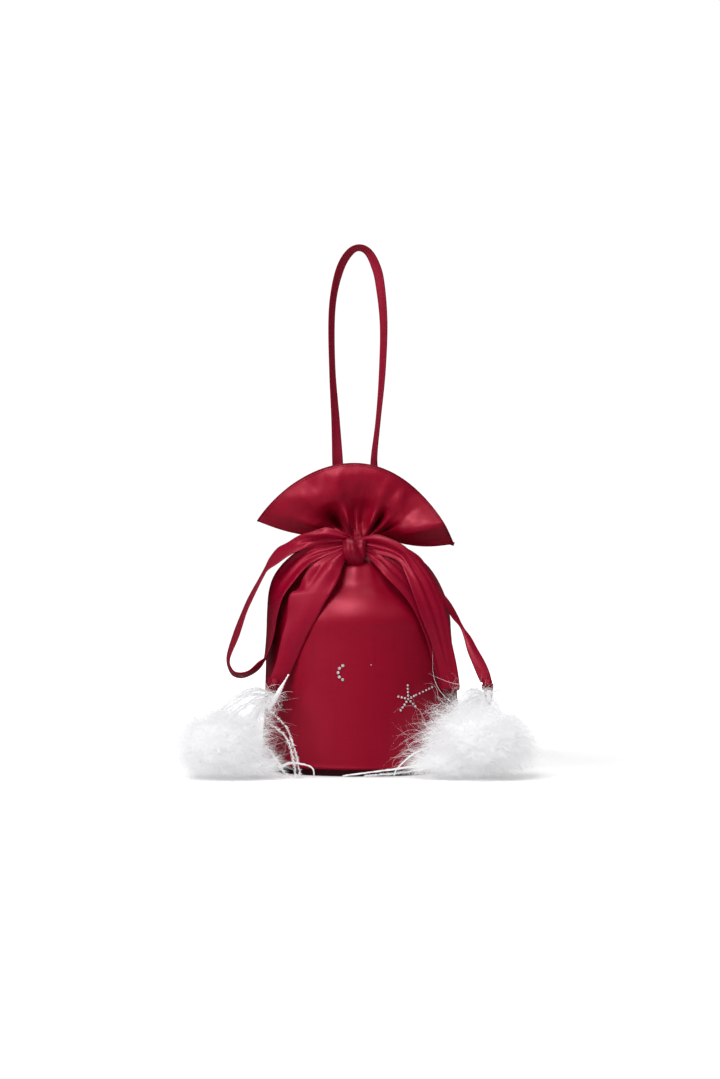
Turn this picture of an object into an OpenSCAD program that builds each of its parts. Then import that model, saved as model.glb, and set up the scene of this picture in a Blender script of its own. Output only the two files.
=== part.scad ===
// Satin drawstring bucket pouch with a tied sash bow, feather plumes, a looped strap and small stones.
// Millimetres. +Z is up, -Y is the front, and the origin is the centre of the base on the ground.

/* [Body] */
// Radius of the satin wall at the base
base_r = 64.8; // [55:0.5:72]
// Radius of the satin wall where the shoulder starts
shoulder_r = 59; // [52:0.5:66]
// Height where the straight side ends and the shoulder starts
side_h = 92; // [85:1:100]
// Height of the shoulder at the gathered neck
neck_z = 142.8; // [140:0.1:144]
// Thickness of the satin wall with its interlining
wall_t = 1.2; // [0.8:0.1:1.6]
// Height of the dark strip round the base
strip_h = 4; // [3:0.5:6]

/* [Neck and ruffle] */
// Radius of the hole left in the tied neck
bore_r = 7; // [6.5:0.1:8]
// Outer radius of the gathered neck
gather_r = 12.2; // [11.5:0.1:12.5]
// Length of the ruffle from the neck to its hem at the middle
ruffle_r = 50; // [40:1:54]
// Extra length of the ruffle at its side tips
tip_extra = 14; // [4:1:18]
// Half the gap between the front and back of the open mouth
mouth_gap = 12; // [10:0.5:14]
// Depth of the folds at the hem
pleat_a = 2.2; // [1:0.1:2.6]
// Number of folds across one side
pleats = 9; // [5:1:13]

/* [Sash] */
// Thickness of the folded sash
sash_t = 1; // [0.8:0.1:1.2]
// Clearance of the sash from the body under it
sash_gap = 2.5; // [2:0.1:4]

/* [Handle] */
// Half the width of the strap
strap_half = 3.2; // [2.5:0.1:3.6]
// Thickness of the strap
strap_t = 1; // [0.8:0.1:1.3]

/* [Plumes] */
// Radius of a plume seen from above
plume_r = 36; // [28:1:36]
// Half the height of a plume
plume_h = 27; // [20:1:27]

/* [Stones] */
// Radius of one stone
stone_r = 0.9; // [0.7:0.1:1.3]

/* [Hidden] */

$fn = 96;
satin = [0.56, 0.055, 0.14];
dark = [0.2, 0.03, 0.06];
feather = [0.94, 0.94, 0.95];
board = [0.75, 0.7, 0.62];
cloth = [0.35, 0.04, 0.08];
stone = [0.9, 0.92, 0.95];

layer_gap = 0.2;
stiff_t = 1.4;
lining_t = 0.6;
board_t = 2.6;
board_z = 1.2;
lining_off = wall_t + stiff_t + 2 * layer_gap;
neck_edge_r = 13;
gather_drop = 3;
gather_h = 10.7;
ruffle_z = 152;
fan_x = -3;
fan_z = 147;
fan_tilt = 6.5;
fan_half = 84.5;
leaf_t = 1;
knot_x = -5;
strap_y = 5;
hinge_z = 200.8;
hinge_gap = 1.2;

function unit(v) = v / max(norm(v), 0.000001);
function clamp_i(i, n) = max(0, min(n - 1, i));

// Smooth curve through a short list of points, with u counted in points.
function spline(p, u) =
    let (n = len(p), i = min(floor(u), n - 2), t = u - i)
    let (a = p[clamp_i(i - 1, n)], b = p[i], c = p[i + 1], d = p[clamp_i(i + 2, n)])
    0.5 * (2 * b + (c - a) * t + (2 * a - 5 * b + 4 * c - d) * t * t + (3 * b - a - 3 * c + d) * t * t * t);

// Side and shoulder of the body as radius and height, from 0 at the base to 1 at the neck.
function side(u) = [base_r + (shoulder_r - base_r) * u, strip_h + 0.2 + (side_h - strip_h - 0.2) * u];
function curve(t, a, b, c, d) =
    pow(1 - t, 3) * a + 3 * t * pow(1 - t, 2) * b + 3 * t * t * (1 - t) * c + pow(t, 3) * d;
function shoulder(t) =
    curve(t, [shoulder_r, side_h], [shoulder_r - 0.5, side_h + 26], [49, neck_z - 0.8], [neck_edge_r, neck_z]);
function outline(steps) =
    concat([for (i = [0:3]) side(i / 4)], [for (i = [0:steps]) shoulder(i / steps)]);
function normal_at(p, i) =
    let (n = len(p), d = unit(p[clamp_i(i + 1, n)] - p[clamp_i(i - 1, n)]))
    [d[1], -d[0]];
function inset(p, off) = [for (i = [0:len(p) - 1]) p[i] - normal_at(p, i) * off];
function reversed(p) = [for (i = [len(p) - 1:-1:0]) p[i]];
profile = outline(24);
function body_r(z) = lookup(z, [for (q = profile) [q[1], q[0]]]);

module shell(outer_off, thick, steps = 14) {
    p = outline(steps);
    rotate_extrude()
        polygon(concat(inset(p, outer_off), reversed(inset(p, outer_off + thick))));
}

// A flat band between two edge curves, with a real thickness.
module band(left, right, t, k = 5) {
    m = (len(left) - 1) * k;
    l = [for (j = [0:m]) spline(left, j / k)];
    r = [for (j = [0:m]) spline(right, j / k)];
    nrm = [for (j = [0:m])
        let (a = max(j - 1, 0), b = min(j + 1, m))
        unit(cross(l[b] + r[b] - l[a] - r[a], r[j] - l[j])) * t / 2];
    pts = [for (j = [0:m]) each [l[j] + nrm[j], r[j] + nrm[j], r[j] - nrm[j], l[j] - nrm[j]]];
    sides = [for (j = [0:m - 1], e = [0:3])
        let (a = 4 * j + e, b = 4 * j + (e + 1) % 4)
        each [[a, b, b + 4], [a, b + 4, a + 4]]];
    polyhedron(pts, concat([[3, 2, 1], [3, 1, 0]], sides,
        [[4 * m, 4 * m + 1, 4 * m + 2], [4 * m, 4 * m + 2, 4 * m + 3]]));
}

// A point of the sash over the round body, never further back than keep_y.
function over(x, z, gap, keep_y) = [x, -max(keep_y, sqrt(max(0, pow(body_r(z), 2) - x * x)) + gap), z];

module base_cover() {
    color(dark)
    rotate_extrude()
        polygon([[0, 0], [base_r, 0], [base_r + 0.2, strip_h], [base_r - 1, strip_h], [base_r - 1.2, 1], [0, 1]]);
}

module base_board() {
    color(board)
    translate([0, 0, board_z])
        cylinder(r = base_r - 1.8, h = board_t);
}

module body_wall() {
    color(satin)
    shell(0, wall_t);
}

module body_stiffener() {
    color(board)
    rotate_extrude()
        polygon([for (s = [[0.01, 0], [0.97, 0], [0.97, stiff_t], [0.01, stiff_t]])
            side(s[0]) - [wall_t + layer_gap + s[1], 0]]);
}

module lining() {
    color(cloth) {
        shell(lining_off, lining_t);
        translate([0, 0, board_z + board_t + layer_gap])
            cylinder(r = base_r - lining_off - lining_t - 0.3, h = lining_t);
    }
}

module neck_gather() {
    folds = 18;
    steps = folds * 8;
    color(satin)
    translate([0, 0, neck_z - gather_drop])
        linear_extrude(height = gather_h)
            difference() {
                polygon([for (i = [0:steps - 1])
                    let (a = 360 * i / steps, r = gather_r - 0.5 + 0.5 * cos(folds * a))
                    [r * cos(a), r * sin(a)]]);
                circle(r = bore_r);
            }
}

module sash_neck_wrap() {
    color(satin)
    rotate_extrude()
        translate([gather_r + 1.6, neck_z + 4.2])
            polygon([[-1.2, -3], [0.4, -3], [1.1, -1.5], [1.3, 0], [1.1, 1.5], [0.4, 3], [-1.2, 3]]);
}

module knot_wrap(y, z, r, w) {
    translate([knot_x, y, z])
        rotate([0, 90, 0])
            cylinder(r = r, h = w, center = true, $fn = 32);
}

module bow_knot() {
    color(satin)
    hull() {
        knot_wrap(-23, 147.1, 4.2, 13);
        knot_wrap(-35, 145.2, 5.6, 14.5);
        knot_wrap(-44.5, 141.3, 4.8, 13);
    }
}

// One side of the ruffle: a = -1..1 across, s = 0..1 from the neck to the hem; f is -1 front, 1 back.
function fan_r(g) = ruffle_r + tip_extra * pow(abs(g) / fan_half, 3) - 2 * sin(g);
function leaf(a, s, f) =
    let (g = a * fan_half, q = a * 88.5)
    let (fold = cos(pleats * a * 180 + 40 * s) * pleat_a * pow(s, 1.3) * (1 - 0.6 * a * a))
    let (neck = [(gather_r - 1.5) * sin(q), f * (gather_r - 1.5) * cos(q), ruffle_z + 1.2 * (1 - cos(q))])
    let (hem = [fan_x + fan_r(g) * sin(g + fan_tilt), f * (mouth_gap * cos(q) + 0.45), fan_z + fan_r(g) * cos(g + fan_tilt)])
    let (w = pow(s, 0.9))
    neck * (1 - w) + hem * w + [0, fold, -3.2 * sin(180 * s) * a * a];

module leaf_solid(f, nu = 72, nv = 7) {
    function p(i, j) = leaf(-1 + 2 * i / nu, j / nv, f);
    function nrm(i, j) =
        unit(cross(p(min(i + 1, nu), j) - p(max(i - 1, 0), j), p(i, min(j + 1, nv)) - p(i, max(j - 1, 0))));
    function lift(i, j, s) =
        let (q = p(i, j) + s * nrm(i, j) * leaf_t / 2)
        [q[0], f * max(0.25, f * q[1]), q[2]];
    w = nv + 1;
    c = (nu + 1) * w;
    pts = [for (s = [-1, 1], i = [0:nu], j = [0:nv]) lift(i, j, s)];
    low = [for (i = [0:nu - 1], j = [0:nv - 1])
        let (a = i * w + j)
        each [[a, a + w, a + w + 1], [a, a + w + 1, a + 1]]];
    rim = concat(
        [for (i = [0:nu - 1]) let (a = i * w, b = a + w) each [[a, a + c, b + c], [a, b + c, b]]],
        [for (j = [0:nv - 1]) let (a = nu * w + j, b = a + 1) each [[a, a + c, b + c], [a, b + c, b]]],
        [for (i = [nu:-1:1]) let (a = i * w + nv, b = a - w) each [[a, a + c, b + c], [a, b + c, b]]],
        [for (j = [nv:-1:1]) let (a = j, b = a - 1) each [[a, a + c, b + c], [a, b + c, b]]]);
    high = [for (t = low) [t[0] + c, t[2] + c, t[1] + c]];
    polyhedron(pts, concat(low, high, rim));
}

module ruffle_front() {
    color(satin)
    leaf_solid(-1);
}

module ruffle_back() {
    color(satin)
    leaf_solid(1);
}

module mouth_seam_tab() {
    color(satin)
    translate([61.5, 0, 145.5])
        rotate([90, 0, 0])
            cylinder(r = 1.2, h = 0.4, center = true, $fn = 24);
}

// Strap edges: centre x, y, z and the turn of its width from +X.
function strap_edge(s, e) =
    let (w = strap_half * [cos(s[3]), sin(s[3]), 0])
    [s[0], s[1], s[2]] + e * w;

loop_path = [
    [-16.0, strap_y, hinge_z + hinge_gap, 6], [-17.0, strap_y, 214, 26], [-18.2, strap_y, 236, 48],
    [-19.4, strap_y, 262, 64], [-19.8, strap_y, 290, 72], [-17.4, strap_y, 313, 66], [-11.5, strap_y, 331, 62],
    [-2.5, strap_y, 339, 66], [6.2, strap_y, 332, 58], [11.0, strap_y, 318, 56], [14.0, strap_y, 290, 68],
    [13.0, strap_y, 258, 74], [11.2, strap_y, 232, 78], [9.0, strap_y, 213, 52], [7.8, strap_y, hinge_z + hinge_gap, 10]
];

module strap(path) {
    color(satin)
    band([for (s = path) strap_edge(s, -1)], [for (s = path) strap_edge(s, 1)], strap_t);
}

module handle_strap() {
    strap(loop_path);
}

module handle_anchor_left() {
    strap([[-16, strap_y, hinge_z - hinge_gap, 6], [-15.5, strap_y + 0.6, 188, 10], [-14, strap_y + 1, 176, 8]]);
}

module handle_anchor_right() {
    strap([[7.8, strap_y, hinge_z - hinge_gap, 10], [8.6, strap_y + 0.4, 188, 16], [10.5, strap_y + 0.8, 176, 10]]);
}

// The left loop stands off the body with its width running front to back.
loop_left_path = [
    [-18, 150.6, -36, 5], [-25, 153, -33, 7.5], [-33, 148, -30, 10], [-42, 142.2, -28.5, 12], [-51.5, 138, -28, 12.8],
    [-60, 130.3, -28, 12.8], [-69.5, 116, -28, 12.8], [-75.5, 100, -28, 12.8], [-82, 83.5, -28, 12.8],
    [-85, 73, -28, 12.8], [-80.5, 63.5, -28, 12.8], [-70, 66.5, -28, 12.6], [-63.5, 76.5, -28.5, 12.3],
    [-61.5, 90, -29, 12], [-60.5, 106, -30, 11], [-55, 121, -32, 9.5], [-46, 133, -34, 8], [-32, 142, -36, 6.5],
    [-18, 145.6, -38, 4.5]
];

module bow_loop_left() {
    color(satin)
    band([for (s = loop_left_path) [s[0], s[2] - s[3], s[1]]],
        [for (s = loop_left_path) [s[0], s[2] + s[3], s[1]]], sash_t);
}

// The right loop lies over the front of the body: down in front, folded, and back up under itself.
module bow_loop_right() {
    out = sash_gap + 5;
    keep = 44;
    left = [over(8.5, 142.8, 0, 34), over(17, 139, 4, 38), over(24.5, 134, out, 42), over(29, 122, out, keep),
        over(32.5, 110.5, out, keep), over(37, 97.5, out, keep), over(42, 83, out, keep), over(46, 68.5, out, keep),
        over(49.5, 56, out, keep), over(50, 53, sash_gap + 3, keep - 2), over(47.5, 55.5, sash_gap + 0.8, keep - 4),
        over(41, 70, sash_gap, keep - 4), over(34, 90, sash_gap, 0), over(24, 112, sash_gap, 0),
        over(12, 127, sash_gap, 0)];
    right = [over(8.5, 150.4, 0, 34), over(20, 148, 4, 38), over(32.5, 138.5, out, 42), over(41, 125.5, out, keep),
        over(47.5, 112, out, keep), over(52.5, 99, out, keep), over(55, 84.5, out, keep), over(58, 69.5, out, keep),
        over(60.5, 56.5, out, keep), over(60, 53, sash_gap + 3, keep - 2), over(57.5, 56, sash_gap + 0.8, keep - 4),
        over(53, 71, sash_gap, keep - 4), over(47, 90, sash_gap, keep - 4), over(38, 112, sash_gap, keep - 4),
        over(22, 131, sash_gap, keep - 4)];
    color(satin)
    band(left, right, sash_t);
}

module tail_left() {
    keep = 48;
    left = [over(-15, 139, 6, keep), over(-31, 134, 5, keep), over(-40.5, 118, 4, keep), over(-48, 110.5, 4, keep),
        over(-51.5, 98, 4, keep), over(-54.5, 83, 4, keep), over(-57, 70, 4, keep), over(-59.5, 60, 4, keep)];
    right = [over(-13.5, 134.5, 6, keep), over(-15.5, 127, 4, keep), over(-20, 115, 4, keep), over(-24, 108, 4, keep),
        over(-29, 99.5, 4, keep), over(-36, 85.5, 4, keep), over(-42.5, 71, 4, keep), over(-50, 60, 4, keep)];
    color(satin)
    band(left, right, sash_t);
}

// The right tail comes out from behind the right loop and twists once before its plume.
module tail_right() {
    left = [[19, -35, 143], [33, -36, 134], [42, -34, 123], [52, -30, 108], [60, -27, 93.5], [66, -29, 84],
        [68, -34, 71], [71, -38.4, 60]];
    right = [[19, -24, 146], [36, -23, 138.5], [46, -22, 128], [56, -21, 113], [64.5, -22, 96], [72, -26, 85],
        [78, -34, 72], [81, -38.4, 60]];
    color(satin)
    band(left, right, sash_t);
}

module plume_tie(x, y, z, tilt) {
    color(satin)
    translate([x, y, z])
        rotate([0, tilt, 0])
            cylinder(r1 = 4.2, r2 = 3, h = 3.6, center = true, $fn = 32);
}

module plume_tie_left() {
    plume_tie(-55.6, -50.5, 56, 12);
}

module plume_tie_right() {
    plume_tie(76, -41.5, 56, -8);
}

module plume(x, y) {
    n = 20;
    color(feather)
    translate([x, y, plume_h + 0.4])
        rotate_extrude()
            polygon([for (i = [0:n]) [plume_r * sin(180 * i / n), -plume_h * cos(180 * i / n)]]);
}

module plume_left() {
    plume(-85, -81);
}

module plume_right() {
    plume(83, -81);
}

// One cut stone standing on the wall at a turn from the front and a height.
module stone_at(turn, z) {
    rotate(turn)
        translate([0, -body_r(z) - 0.15, z])
            rotate([90, 0, 0])
                cylinder(r1 = stone_r, r2 = stone_r * 0.45, h = stone_r * 0.8, $fn = 16);
}

module stones_star() {
    turn = 27.6;
    z = 48;
    gap = 2.15;
    color(stone) {
        stone_at(turn, z);
        for (arm = [[0, 4], [66, 2], [136, 3], [216, 4], [285, 3]], step = [1:arm[1]])
            stone_at(turn + gap * step * sin(arm[0]), z + gap * step * cos(arm[0]));
    }
}

module stones_crescent() {
    color(stone)
    for (i = [-2:2])
        stone_at(-10 - 4 * cos(i * 36), 64.8 + 4.6 * sin(i * 36));
}

module stones_scatter() {
    color(stone) {
        for (i = [0:5])
            stone_at(33 + 2.5 * i, 50.4 + 0.9 * i);
        for (i = [0:2], j = [0:1])
            stone_at(-59 + 2.6 * i + 1.4 * j, 46.8 - 2.6 * i + 1.6 * j);
        for (s = [[-15.3, 89.8], [5.3, 69.7], [-55.2, 106.6], [-59.2, 103.8], [-55.7, 103.2]])
            stone_at(s[0], s[1]);
    }
}

base_cover();
base_board();
body_wall();
body_stiffener();
lining();
neck_gather();
sash_neck_wrap();
bow_knot();
ruffle_back();
ruffle_front();
mouth_seam_tab();
handle_strap();
handle_anchor_left();
handle_anchor_right();
bow_loop_left();
bow_loop_right();
tail_left();
tail_right();
plume_tie_left();
plume_tie_right();
plume_left();
plume_right();
stones_star();
stones_crescent();
stones_scatter();
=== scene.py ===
import math
import random

import bmesh
import bpy
from mathutils import Matrix, Vector, noise


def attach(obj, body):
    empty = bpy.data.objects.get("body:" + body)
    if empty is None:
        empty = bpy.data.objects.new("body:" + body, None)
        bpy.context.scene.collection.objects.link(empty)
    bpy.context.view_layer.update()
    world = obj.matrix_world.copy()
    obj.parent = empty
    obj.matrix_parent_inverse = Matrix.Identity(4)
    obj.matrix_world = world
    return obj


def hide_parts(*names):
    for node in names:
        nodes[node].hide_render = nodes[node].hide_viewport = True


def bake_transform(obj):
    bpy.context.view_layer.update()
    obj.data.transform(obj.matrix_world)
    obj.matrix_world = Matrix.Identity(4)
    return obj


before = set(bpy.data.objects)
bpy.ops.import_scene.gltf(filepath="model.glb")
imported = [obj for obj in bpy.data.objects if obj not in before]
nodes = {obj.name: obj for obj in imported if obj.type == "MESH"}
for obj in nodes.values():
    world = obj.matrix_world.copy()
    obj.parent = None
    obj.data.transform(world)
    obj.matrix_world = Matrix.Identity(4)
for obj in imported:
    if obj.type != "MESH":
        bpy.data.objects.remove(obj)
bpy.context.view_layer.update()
print("frame loaded")

millimetre = 0.001


def mm(x, y, z):
    return Vector((x, y, z)) * millimetre


def blendOf(a, b, t):
    return a + (b - a) * t


def ease(t):
    t = max(0.0, min(1.0, t))
    return t * t * (3 - 2 * t)


def ramp(x, low, high):
    return ease((x - low) / (high - low))


def bump(x, centre, width):
    return math.exp(-((x - centre) / width) ** 2)


# a smooth curve through a few points, t from 0 to 1
def through(points, t):
    last = len(points) - 1
    place = min(max(t, 0.0), 1.0) * last
    i = min(int(place), last - 1)
    t = place - i
    a, b, c, d = (points[min(max(k, 0), last)] for k in (i - 1, i, i + 1, i + 2))
    return 0.5 * (2 * b + (c - a) * t + (2 * a - 5 * b + 4 * c - d) * t * t + (3 * b - a - 3 * c + d) * t * t * t)


# a soft wandering number, about -1 to 1
def drift(*at):
    return noise.noise(Vector(at))


def linear(hexColour):
    channels = [int(hexColour[i:i + 2], 16) / 255 for i in (1, 3, 5)]
    return (*[c / 12.92 if c <= 0.04045 else ((c + 0.055) / 1.055) ** 2.4 for c in channels], 1)


# adds one shader node: settings are inputs or properties by name, links are input name to output socket
def add(tree, kind, settings=None, links=None):
    made = tree.nodes.new("ShaderNode" + kind)
    for name, value in (settings or {}).items():
        if isinstance(name, str) and hasattr(made, name):
            setattr(made, name, value)
        else:
            made.inputs[name].default_value = value
    for name, socket in (links or {}).items():
        tree.links.new(socket, made.inputs[name])
    return made


def newMaterial(name, settings):
    material = bpy.data.materials.new(name)
    material.use_nodes = True
    tree = material.node_tree
    shader = tree.nodes["Principled BSDF"]
    for socket, value in settings.items():
        shader.inputs[socket].default_value = value
    return material, tree, shader


# Polyester duchess satin: long warp floats give a broad soft gloss, fine cross ribs and a few slubs.
# The real thread is about 0.1 mm, too fine to show, so the ribs are drawn 0.5 mm apart.
def satinWeave(name, face, deep, ribMm=0.5, rough=(0.33, 0.46), gloss=0.85, depth=0.00003):
    material, tree, shader = newMaterial(name, {
        "IOR": 1.5, "Specular IOR Level": gloss, "Specular Tint": linear("#FF8092"),
        "Sheen Weight": 0.03, "Sheen Roughness": 0.4, "Sheen Tint": linear("#E05068")})
    cloth = add(tree, "UVMap").outputs["UV"]
    slubPlace = add(tree, "Mapping", {"Scale": (0.05, 1.1, 1)}, {"Vector": cloth})
    slubs = add(tree, "TexNoise", {"Scale": 1.0, "Detail": 3.0, "Roughness": 0.6}, {"Vector": slubPlace.outputs[0]})
    warpPlace = add(tree, "Mapping", {"Scale": (0.9, 0.02, 1)}, {"Vector": cloth})
    streaks = add(tree, "TexNoise", {"Scale": 1.0, "Detail": 2.0}, {"Vector": warpPlace.outputs[0]})
    ribs = add(tree, "TexWave", {"bands_direction": "Y", "Scale": 0.314 / ribMm, "Distortion": 1.2, "Detail": 2.0,
        "Detail Scale": 0.8}, {"Vector": cloth})
    warp = add(tree, "TexWave", {"bands_direction": "X", "Scale": 0.314 / ribMm * 0.8, "Distortion": 0.8,
        "Detail": 1.0}, {"Vector": cloth})
    weave = add(tree, "Math", {"operation": "MULTIPLY"}, {0: ribs.outputs["Fac"], 1: warp.outputs["Fac"]})
    tone = add(tree, "Math", {"operation": "ADD"}, {0: slubs.outputs["Fac"], 1: streaks.outputs["Fac"]})
    share = add(tree, "MapRange", {"From Min": 0.65, "From Max": 1.35}, {"Value": tone.outputs[0]})
    colour = add(tree, "Mix", {"data_type": "RGBA", 6: linear(deep), 7: linear(face)}, {0: share.outputs[0]})
    tree.links.new(colour.outputs[2], shader.inputs["Base Color"])
    polish = add(tree, "MapRange", {"To Min": rough[0], "To Max": rough[1]}, {"Value": slubs.outputs["Fac"]})
    tree.links.new(polish.outputs[0], shader.inputs["Roughness"])
    heights = add(tree, "Math", {"operation": "MULTIPLY_ADD", 1: 0.5},
        {0: slubs.outputs["Fac"], 2: weave.outputs[0]})
    relief = add(tree, "Bump", {"Strength": 0.5, "Distance": depth}, {"Height": heights.outputs[0]})
    tree.links.new(relief.outputs[0], shader.inputs["Normal"])
    return material


# Lining cloth and grey board, seen only through the mouth: matt, with a plain fibre grain.
def plainFibre(name, light, dark, grainMm, rough=0.85):
    material, tree, shader = newMaterial(name, {"IOR": 1.45, "Specular IOR Level": 0.3})
    place = add(tree, "TexCoord").outputs["Object"]
    grain = add(tree, "TexNoise", {"Scale": 1 / (grainMm * millimetre), "Detail": 4.0}, {"Vector": place})
    colour = add(tree, "Mix", {"data_type": "RGBA", 6: linear(dark), 7: linear(light)}, {0: grain.outputs["Fac"]})
    tree.links.new(colour.outputs[2], shader.inputs["Base Color"])
    polish = add(tree, "MapRange", {"To Min": rough - 0.1, "To Max": rough + 0.08}, {"Value": grain.outputs["Fac"]})
    tree.links.new(polish.outputs[0], shader.inputs["Roughness"])
    relief = add(tree, "Bump", {"Strength": 0.4, "Distance": 0.0001}, {"Height": grain.outputs["Fac"]})
    tree.links.new(relief.outputs[0], shader.inputs["Normal"])
    return material


# Ostrich down: keratin strands, white and slightly see-through; a faint white glow is painted in so shade in it
# stays pale.
def ostrichDownPaintedGlow():
    material, tree, shader = newMaterial("ostrichDownPaintedGlow", {
        "IOR": 1.54, "Specular IOR Level": 0.25, "Sheen Weight": 0.3, "Sheen Roughness": 0.5,
        "Emission Color": (1, 1, 1, 1), "Emission Strength": 0.13})
    place = add(tree, "TexCoord").outputs["Object"]
    patches = add(tree, "TexNoise", {"Scale": 60.0, "Detail": 2.0}, {"Vector": place})
    colour = add(tree, "Mix", {"data_type": "RGBA", 6: linear("#DADADC"), 7: linear("#E8E8E9")},
        {0: patches.outputs["Fac"]})
    tree.links.new(colour.outputs[2], shader.inputs["Base Color"])
    polish = add(tree, "MapRange", {"To Min": 0.55, "To Max": 0.8}, {"Value": patches.outputs["Fac"]})
    tree.links.new(polish.outputs[0], shader.inputs["Roughness"])
    barbule = add(tree, "TexNoise", {"Scale": 2500.0, "Detail": 1.0}, {"Vector": place})
    relief = add(tree, "Bump", {"Strength": 0.3, "Distance": 0.0001}, {"Height": barbule.outputs["Fac"]})
    tree.links.new(relief.outputs[0], shader.inputs["Normal"])
    return material


# Cut glass stones with a silver foil back: beside the foil's own silver, their sparkle is painted in, as a
# near-white colour with hard bright facet flecks and small dark ones between.
def foiledGlassPaintedGlints():
    material, tree, shader = newMaterial("foiledGlassPaintedGlints", {
        "Metallic": 0.3, "Specular IOR Level": 0.8, "Coat Weight": 0.8, "Coat Roughness": 0.03})
    place = add(tree, "TexCoord").outputs["Object"]
    flecks = add(tree, "TexVoronoi", {"Scale": 1400.0}, {"Vector": place})
    colour = add(tree, "Mix", {"data_type": "RGBA", 6: linear("#C9CED6"), 7: linear("#FFFFFF")},
        {0: flecks.outputs["Distance"]})
    tree.links.new(colour.outputs[2], shader.inputs["Base Color"])
    polish = add(tree, "MapRange", {"To Min": 0.05, "To Max": 0.22}, {"Value": flecks.outputs["Distance"]})
    tree.links.new(polish.outputs[0], shader.inputs["Roughness"])
    return material


satinRed = satinWeave("duchessSatin", "#8A0222", "#7A021B")
satinSash = satinWeave("sashSatin", "#8C0226", "#7A021D", ribMm=0.45)
# the knot is the same sash, pulled tight; its deeper tone is painted shade, standing for the shade in its tight
# folds
satinKnotPaintedShade = satinWeave("knotSatinPaintedShade", "#7A021F", "#6A0118", ribMm=0.4)
# the strap's red is its own, and its greyer tone is a painted sheen
satinStrapPaintedSheen = satinWeave("strapSatinPaintedSheen", "#8A142C", "#740C20", ribMm=0.4)
# turned edges and cords: their darker red is painted shade, standing for the shade where the cloth turns away
satinEdgePaintedShade = satinWeave("turnedEdgePaintedShade", "#74061E", "#600416", ribMm=0.4, rough=(0.45, 0.6), gloss=0.3)
# the base strip's near-black is painted shade, standing for the shade under the hem
stripClothPaintedShade = satinWeave("baseStripPaintedShade", "#2C0A12", "#140508", ribMm=1.2, rough=(0.4, 0.6), gloss=0.2,
    depth=0.0001)
liningCloth = plainFibre("liningTwill", "#6A1020", "#4A0814", 0.4)
greyBoard = plainFibre("greyBoard", "#C9BDA8", "#A89B84", 0.5)
downWhitePaintedGlow = ostrichDownPaintedGlow()
stoneGlassPaintedGlints = foiledGlassPaintedGlints()
threadRed = plainFibre("polyThread", "#5E0616", "#43030E", 0.2, rough=0.6)
print("materials made")


# a grid of cloth placed by a function of (u, v), each 0 to 1; uv holds millimetres on the cloth
def clothGrid(name, across, along, place, sizeMm, material, closed=False, thick=0.0, smoothSteps=0):
    bm = bmesh.new()
    uvLayer = bm.loops.layers.uv.new("UVMap")
    bmesh.ops.create_grid(bm, x_segments=across, y_segments=along, size=0.5)
    for face in bm.faces:
        for loop in face.loops:
            loop[uvLayer].uv = ((loop.vert.co.x + 0.5) * sizeMm[0], (loop.vert.co.y + 0.5) * sizeMm[1])
    for vert in bm.verts:
        vert.co = place(min(1.0, max(0.0, vert.co.x + 0.5)), min(1.0, max(0.0, vert.co.y + 0.5)))
    if closed:
        bmesh.ops.remove_doubles(bm, verts=bm.verts, dist=0.000004)
    if smoothSteps:
        inner = [v for v in bm.verts if not v.is_boundary]
        for _ in range(smoothSteps):
            bmesh.ops.smooth_vert(bm, verts=inner, factor=0.5, use_axis_x=True, use_axis_y=True, use_axis_z=True)
    bmesh.ops.recalc_face_normals(bm, faces=bm.faces)
    return finishMesh(name, bm, material, thick)


def finishMesh(name, bm, material, thick=0.0, smooth=True):
    mesh = bpy.data.meshes.new(name)
    bm.to_mesh(mesh)
    bm.free()
    if smooth:
        mesh.shade_smooth()
    made = bpy.data.objects.new(name, mesh)
    bpy.context.scene.collection.objects.link(made)
    mesh.materials.append(material)
    if thick:
        wall = made.modifiers.new("wall", "SOLIDIFY")
        wall.thickness = thick
        wall.offset = 0
    return made


# a round thread or piping along points; the curve becomes a mesh
def tube(name, points, radius, material, closed=False, sides=1):
    curve = bpy.data.curves.new(name, "CURVE")
    curve.dimensions = "3D"
    curve.bevel_depth = radius
    curve.bevel_resolution = sides
    curve.use_fill_caps = True
    spline = curve.splines.new("POLY")
    spline.points.add(len(points) - 1)
    for point, at in zip(spline.points, points):
        point.co = (*at, 1)
    spline.use_cyclic_u = closed
    return meshOfCurve(name, curve, material)


def meshOfCurve(name, curve, material):
    source = bpy.data.objects.new(name + "Line", curve)
    bpy.context.scene.collection.objects.link(source)
    mesh = bpy.data.meshes.new_from_object(source.evaluated_get(bpy.context.evaluated_depsgraph_get()))
    bpy.data.objects.remove(source)
    bpy.data.curves.remove(curve)
    mesh.name = name
    mesh.materials.clear()
    mesh.materials.append(material)
    mesh.shade_smooth()
    made = bpy.data.objects.new(name, mesh)
    bpy.context.scene.collection.objects.link(made)
    return made


# many short stitches in one mesh: each is a small flattened bead along its direction
def stitchRow(name, places, lengthMm, widthMm, material):
    bm = bmesh.new()
    for at, along, out in places:
        side = along.cross(out).normalized()
        turn = Matrix((side, along.normalized(), out)).transposed().to_4x4()
        size = Matrix.Diagonal((widthMm, lengthMm, widthMm * 0.6, 1)) * millimetre
        size[3][3] = 1
        bmesh.ops.create_uvsphere(bm, u_segments=6, v_segments=5, radius=0.5,
            matrix=Matrix.Translation(at) @ turn @ size)
    return finishMesh(name, bm, material)


# The body: a stiffened tube of satin that stands on its hem and closes in soft folds at the neck.
body = {
    "hemZ": 4.3, "hemR": 64.8, "sideZ": 92.0, "sideR": 59.0, "neckZ": 142.8, "neckR": 13.0,
    "leanMm": -3.0, "across": 288, "along": 150, "thick": 1.2,
}


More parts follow.
